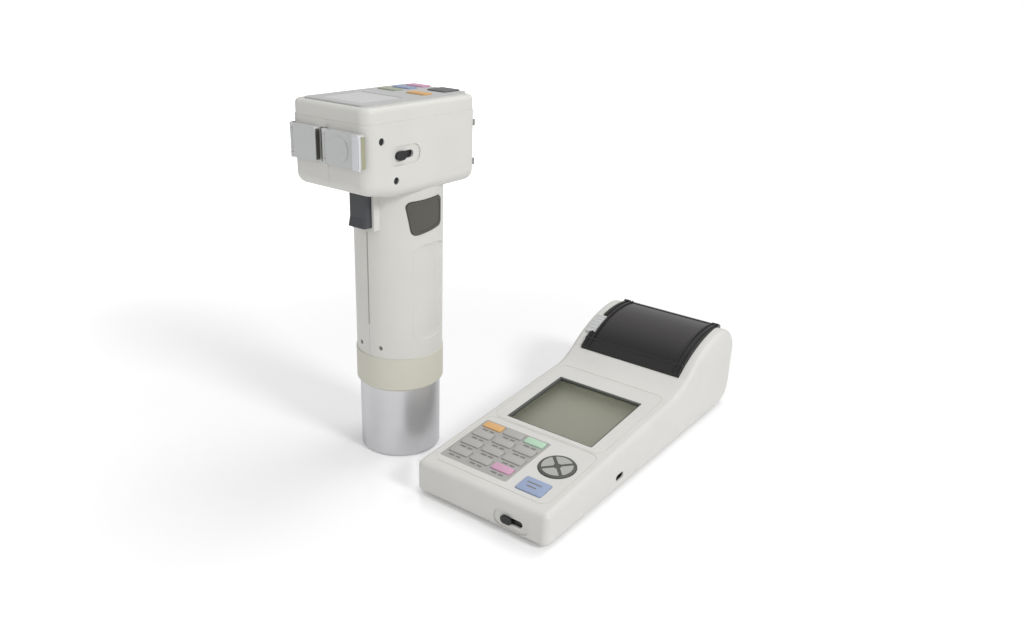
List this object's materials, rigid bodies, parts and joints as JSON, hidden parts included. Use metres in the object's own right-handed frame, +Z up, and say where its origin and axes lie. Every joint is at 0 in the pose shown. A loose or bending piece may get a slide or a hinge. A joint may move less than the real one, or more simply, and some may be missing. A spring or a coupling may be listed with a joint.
{
  "type": "colorimeter set",
  "caption": "Colorimeter set: an upright hand-held measuring head with an aluminium tube, and a table data processor with display, keypad and covered printer.",
  "frame": {"origin": "centre of the bounding box of the set, on the bench plane", "axes": "+X towards the data processor's right side, +Y from its keypad end to its printer end, +Z up"},
  "size_m": [0.188, 0.2728, 0.2408],
  "materials": {
    "case_white": "satin off-white plastic",
    "ground_grey": "printed grey",
    "key_grey": "light grey rubber",
    "key_orange": "orange rubber",
    "key_green": "pale green rubber",
    "key_pink": "pink rubber",
    "key_blue": "pale blue rubber",
    "key_dark": "dark grey rubber",
    "key_olive": "greenish grey rubber",
    "pad_grey": "grey rubber disc",
    "clear_sheet": "clear sheet",
    "lcd": "grey-green liquid crystal panel",
    "board_green": "circuit board",
    "tray_dark": "dark grey plastic",
    "smoked": "smoked sheet",
    "frame_dark": "black plastic",
    "steel": "steel",
    "black_plastic": "black plastic",
    "rubber_black": "black rubber",
    "cell_wrap": "battery wrap",
    "paper": "thermal paper",
    "gear_white": "white gear plastic",
    "cover_grey": "light grey plastic",
    "collar_cream": "cream plastic",
    "aluminium": "satin aluminium",
    "panel_grey": "grey panel",
    "trigger_dark": "dark grey plastic",
    "grip_grey": "dark grey rubber"
  },
  "bodies": {
    "processor": {"lower_case": "case_white", "upper_case": "case_white", "keypad_plate": "ground_grey", "display_window": "clear_sheet", "display_module": "lcd", "main_board": "board_green", "printer_chassis": "tray_dark", "print_head": "steel", "printer_motor": "steel", "processor_sockets": "black_plastic", "processor_batteries": "cell_wrap", "rubber_feet": "rubber_black", "case_screws": "steel"},
    "printer_cover": {"cover_frame": "frame_dark", "cover_window": "smoked"},
    "release_lever": {"release_lever": "cover_grey"},
    "paper": {"paper_roll": "paper", "paper_spindle": "black_plastic"},
    "platen": {"platen_roller": "rubber_black", "platen_gear": "gear_white"},
    "motor_gear": {"motor_gear": "gear_white"},
    "processor_switch": {"processor_switch": "black_plastic"},
    "battery_door": {"battery_door": "case_white"},
    "cursor_pad": {"cursor_pad": "pad_grey"},
    "enter_key": {"enter_key": "key_blue"},
    "measuring_head": {"head_left_shell": "case_white", "head_right_shell": "case_white", "head_top_cover": "case_white", "control_panel": "panel_grey", "head_display": "lcd", "head_board": "board_green", "measuring_tube": "aluminium", "tube_collar": "collar_cream", "light_chamber": "black_plastic", "head_screws": "black_plastic", "head_bumpers": "black_plastic", "head_batteries": "cell_wrap"},
    "trigger": {"trigger": "trigger_dark"},
    "head_switch": {"head_switch": "black_plastic"},
    "side_button": {"side_button": "grip_grey"},
    "socket_cover_left": {"socket_cover_left": "cover_grey"},
    "socket_cover_right": {"socket_cover_right": "cover_grey"},
    "head_battery_cover": {"head_battery_cover": "case_white"},
    "key_1": {"key_1": "key_orange"},
    "key_2": {"key_2": "key_grey"},
    "key_3": {"key_3": "key_green"},
    "key_4": {"key_4": "key_grey"},
    "key_5": {"key_5": "key_grey"},
    "key_6": {"key_6": "key_grey"},
    "key_7": {"key_7": "key_grey"},
    "key_8": {"key_8": "key_grey"},
    "key_9": {"key_9": "key_grey"},
    "key_10": {"key_10": "key_grey"},
    "key_11": {"key_11": "key_grey"},
    "key_12": {"key_12": "key_pink"},
    "head_key_1": {"head_key_1": "key_orange"},
    "head_key_2": {"head_key_2": "key_olive"},
    "head_key_3": {"head_key_3": "key_blue"},
    "head_key_4": {"head_key_4": "key_pink"},
    "head_key_5": {"head_key_5": "key_dark"}
  },
  "joints": [
    {"name": "cover_hinge", "type": "hinge", "parent": "processor", "child": "printer_cover", "pos_m": [0.044, 0.12135, 0.05936], "axis": [-1, 0, 0], "range_deg": [0, 95]},
    {"name": "lever_press", "type": "slide", "parent": "processor", "child": "release_lever", "axis": [0, 0, 1], "range_m": [-0.002, 0], "stiffness_N_per_m": 600, "springref_m": 0.0005},
    {"name": "paper_spin", "type": "hinge", "parent": "processor", "child": "paper", "pos_m": [0.044, 0.10085, 0.04453], "axis": [1, 0, 0], "continuous": true},
    {"name": "platen_spin", "type": "hinge", "parent": "processor", "child": "platen", "pos_m": [0.044, 0.07135, 0.04], "axis": [1, 0, 0], "continuous": true},
    {"name": "motor_gear_spin", "type": "hinge", "parent": "processor", "child": "motor_gear", "pos_m": [0.044, 0.07551, 0.03107], "axis": [1, 0, 0], "continuous": true},
    {"name": "processor_switch_slide", "type": "slide", "parent": "processor", "child": "processor_switch", "axis": [1, 0, 0], "range_m": [0, 0.007]},
    {"name": "battery_door_slide", "type": "slide", "parent": "processor", "child": "battery_door", "axis": [0, 1, 0], "range_m": [0, 0.012]},
    {"name": "cursor_tilt", "type": "hinge", "parent": "processor", "child": "cursor_pad", "pos_m": [0.0706, -0.07397, 0.02532], "axis": [1, 0, 0], "range_deg": [-3, 3], "stiffness_Nm_per_rad": 0.05},
    {"name": "enter_press", "type": "slide", "parent": "processor", "child": "enter_key", "axis": [0, -0.0797, 0.9968], "range_m": [-0.0007, 0], "stiffness_N_per_m": 600, "springref_m": 0.0003},
    {"name": "key_1_press", "type": "slide", "parent": "processor", "child": "key_1", "axis": [0, -0.0797, 0.9968], "range_m": [-0.0007, 0], "stiffness_N_per_m": 600, "springref_m": 0.0003},
    {"name": "key_2_press", "type": "slide", "parent": "processor", "child": "key_2", "axis": [0, -0.0797, 0.9968], "range_m": [-0.0007, 0], "stiffness_N_per_m": 600, "springref_m": 0.0003},
    {"name": "key_3_press", "type": "slide", "parent": "processor", "child": "key_3", "axis": [0, -0.0797, 0.9968], "range_m": [-0.0007, 0], "stiffness_N_per_m": 600, "springref_m": 0.0003},
    {"name": "key_4_press", "type": "slide", "parent": "processor", "child": "key_4", "axis": [0, -0.0797, 0.9968], "range_m": [-0.0007, 0], "stiffness_N_per_m": 600, "springref_m": 0.0003},
    {"name": "key_5_press", "type": "slide", "parent": "processor", "child": "key_5", "axis": [0, -0.0797, 0.9968], "range_m": [-0.0007, 0], "stiffness_N_per_m": 600, "springref_m": 0.0003},
    {"name": "key_6_press", "type": "slide", "parent": "processor", "child": "key_6", "axis": [0, -0.0797, 0.9968], "range_m": [-0.0007, 0], "stiffness_N_per_m": 600, "springref_m": 0.0003},
    {"name": "key_7_press", "type": "slide", "parent": "processor", "child": "key_7", "axis": [0, -0.0797, 0.9968], "range_m": [-0.0007, 0], "stiffness_N_per_m": 600, "springref_m": 0.0003},
    {"name": "key_8_press", "type": "slide", "parent": "processor", "child": "key_8", "axis": [0, -0.0797, 0.9968], "range_m": [-0.0007, 0], "stiffness_N_per_m": 600, "springref_m": 0.0003},
    {"name": "key_9_press", "type": "slide", "parent": "processor", "child": "key_9", "axis": [0, -0.0797, 0.9968], "range_m": [-0.0007, 0], "stiffness_N_per_m": 600, "springref_m": 0.0003},
    {"name": "key_10_press", "type": "slide", "parent": "processor", "child": "key_10", "axis": [0, -0.0797, 0.9968], "range_m": [-0.0007, 0], "stiffness_N_per_m": 600, "springref_m": 0.0003},
    {"name": "key_11_press", "type": "slide", "parent": "processor", "child": "key_11", "axis": [0, -0.0797, 0.9968], "range_m": [-0.0007, 0], "stiffness_N_per_m": 600, "springref_m": 0.0003},
    {"name": "key_12_press", "type": "slide", "parent": "processor", "child": "key_12", "axis": [0, -0.0797, 0.9968], "range_m": [-0.0007, 0], "stiffness_N_per_m": 600, "springref_m": 0.0003},
    {"name": "head_lift", "type": "slide", "parent": "processor", "child": "measuring_head", "axis": [0, 0, 1], "range_m": [0, 0.25]},
    {"name": "trigger_pull", "type": "slide", "parent": "measuring_head", "child": "trigger", "axis": [0, 1, 0], "range_m": [0, 0.003], "stiffness_N_per_m": 600, "springref_m": -0.0005},
    {"name": "head_switch_slide", "type": "slide", "parent": "measuring_head", "child": "head_switch", "axis": [0, 1, 0], "range_m": [0, 0.007]},
    {"name": "side_button_press", "type": "slide", "parent": "measuring_head", "child": "side_button", "axis": [1, 0, 0], "range_m": [-0.0009, 0], "stiffness_N_per_m": 600, "springref_m": 0.0003},
    {"name": "socket_cover_left_hinge", "type": "hinge", "parent": "measuring_head", "child": "socket_cover_left", "pos_m": [-0.0888, -0.13265, 0.2155], "axis": [0, 0, -1], "range_deg": [0, 100]},
    {"name": "socket_cover_right_hinge", "type": "hinge", "parent": "measuring_head", "child": "socket_cover_right", "pos_m": [-0.0618, -0.13265, 0.2155], "axis": [0, 0, -1], "range_deg": [0, 100]},
    {"name": "battery_cover_lift", "type": "slide", "parent": "measuring_head", "child": "head_battery_cover", "axis": [0, 1, 0], "range_m": [0, 0.03]},
    {"name": "head_key_1_press", "type": "slide", "parent": "measuring_head", "child": "head_key_1", "axis": [0, 0, 1], "range_m": [-0.0006, 0], "stiffness_N_per_m": 600, "springref_m": 0.0003},
    {"name": "head_key_2_press", "type": "slide", "parent": "measuring_head", "child": "head_key_2", "axis": [0, 0, 1], "range_m": [-0.0006, 0], "stiffness_N_per_m": 600, "springref_m": 0.0003},
    {"name": "head_key_3_press", "type": "slide", "parent": "measuring_head", "child": "head_key_3", "axis": [0, 0, 1], "range_m": [-0.0006, 0], "stiffness_N_per_m": 600, "springref_m": 0.0003},
    {"name": "head_key_4_press", "type": "slide", "parent": "measuring_head", "child": "head_key_4", "axis": [0, 0, 1], "range_m": [-0.0006, 0], "stiffness_N_per_m": 600, "springref_m": 0.0003},
    {"name": "head_key_5_press", "type": "slide", "parent": "measuring_head", "child": "head_key_5", "axis": [0, 0, 1], "range_m": [-0.0006, 0], "stiffness_N_per_m": 600, "springref_m": 0.0003}
  ],
  "couplings": [
    {"joint": "motor_gear_spin", "follows": "platen_spin", "ratio": -1.6667}
  ]
}
